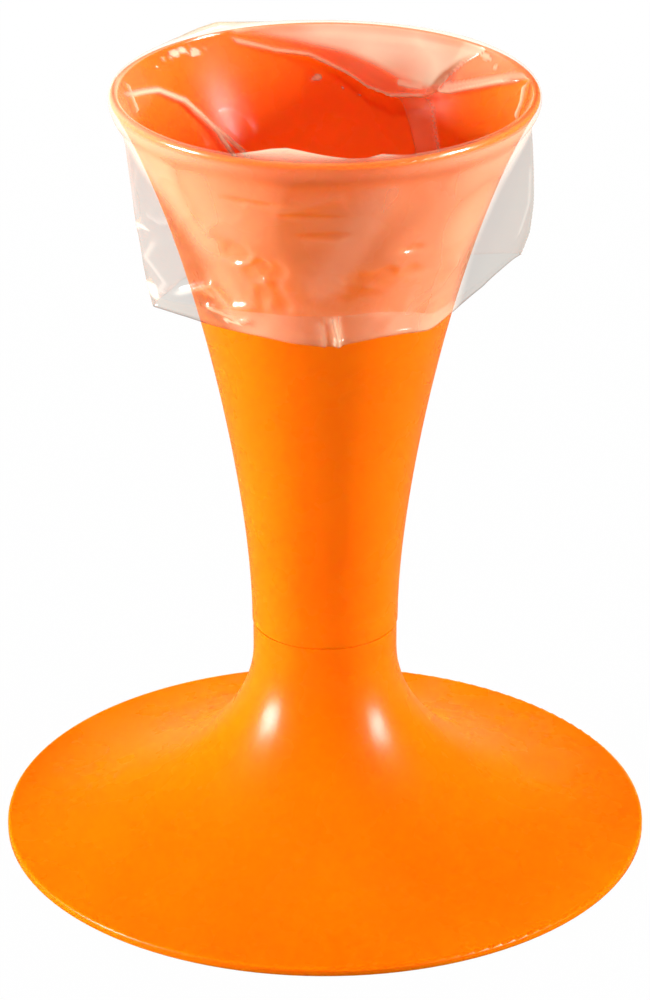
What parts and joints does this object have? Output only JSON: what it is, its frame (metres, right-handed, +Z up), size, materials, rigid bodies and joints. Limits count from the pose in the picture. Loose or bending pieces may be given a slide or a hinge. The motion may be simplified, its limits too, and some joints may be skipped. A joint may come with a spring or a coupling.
{
  "type": "piping bag holder",
  "caption": "Kitchen stand that holds a pastry bag open: a flared funnel plugged into a trumpet-shaped foot, lined with a clear film bag folded over its rim.",
  "frame": {"origin": "middle of the foot, on the table", "axes": "+Z up along the stand's axis, -Y towards the front of the pictured view, +X to its right"},
  "size_m": [0.2, 0.2, 0.2455],
  "materials": {
    "orange_plastic": "satin moulded polypropylene",
    "clear_film": "clear, slightly milky polyethylene film"
  },
  "bodies": {
    "stand": {"base": "orange_plastic"},
    "cone": {"funnel": "orange_plastic", "piping_bag": "clear_film"}
  },
  "joints": [
    {"name": "funnel_lift", "type": "slide", "parent": "stand", "child": "cone", "axis": [0, 0, 1], "range_m": [0, 0.06]}
  ]
}
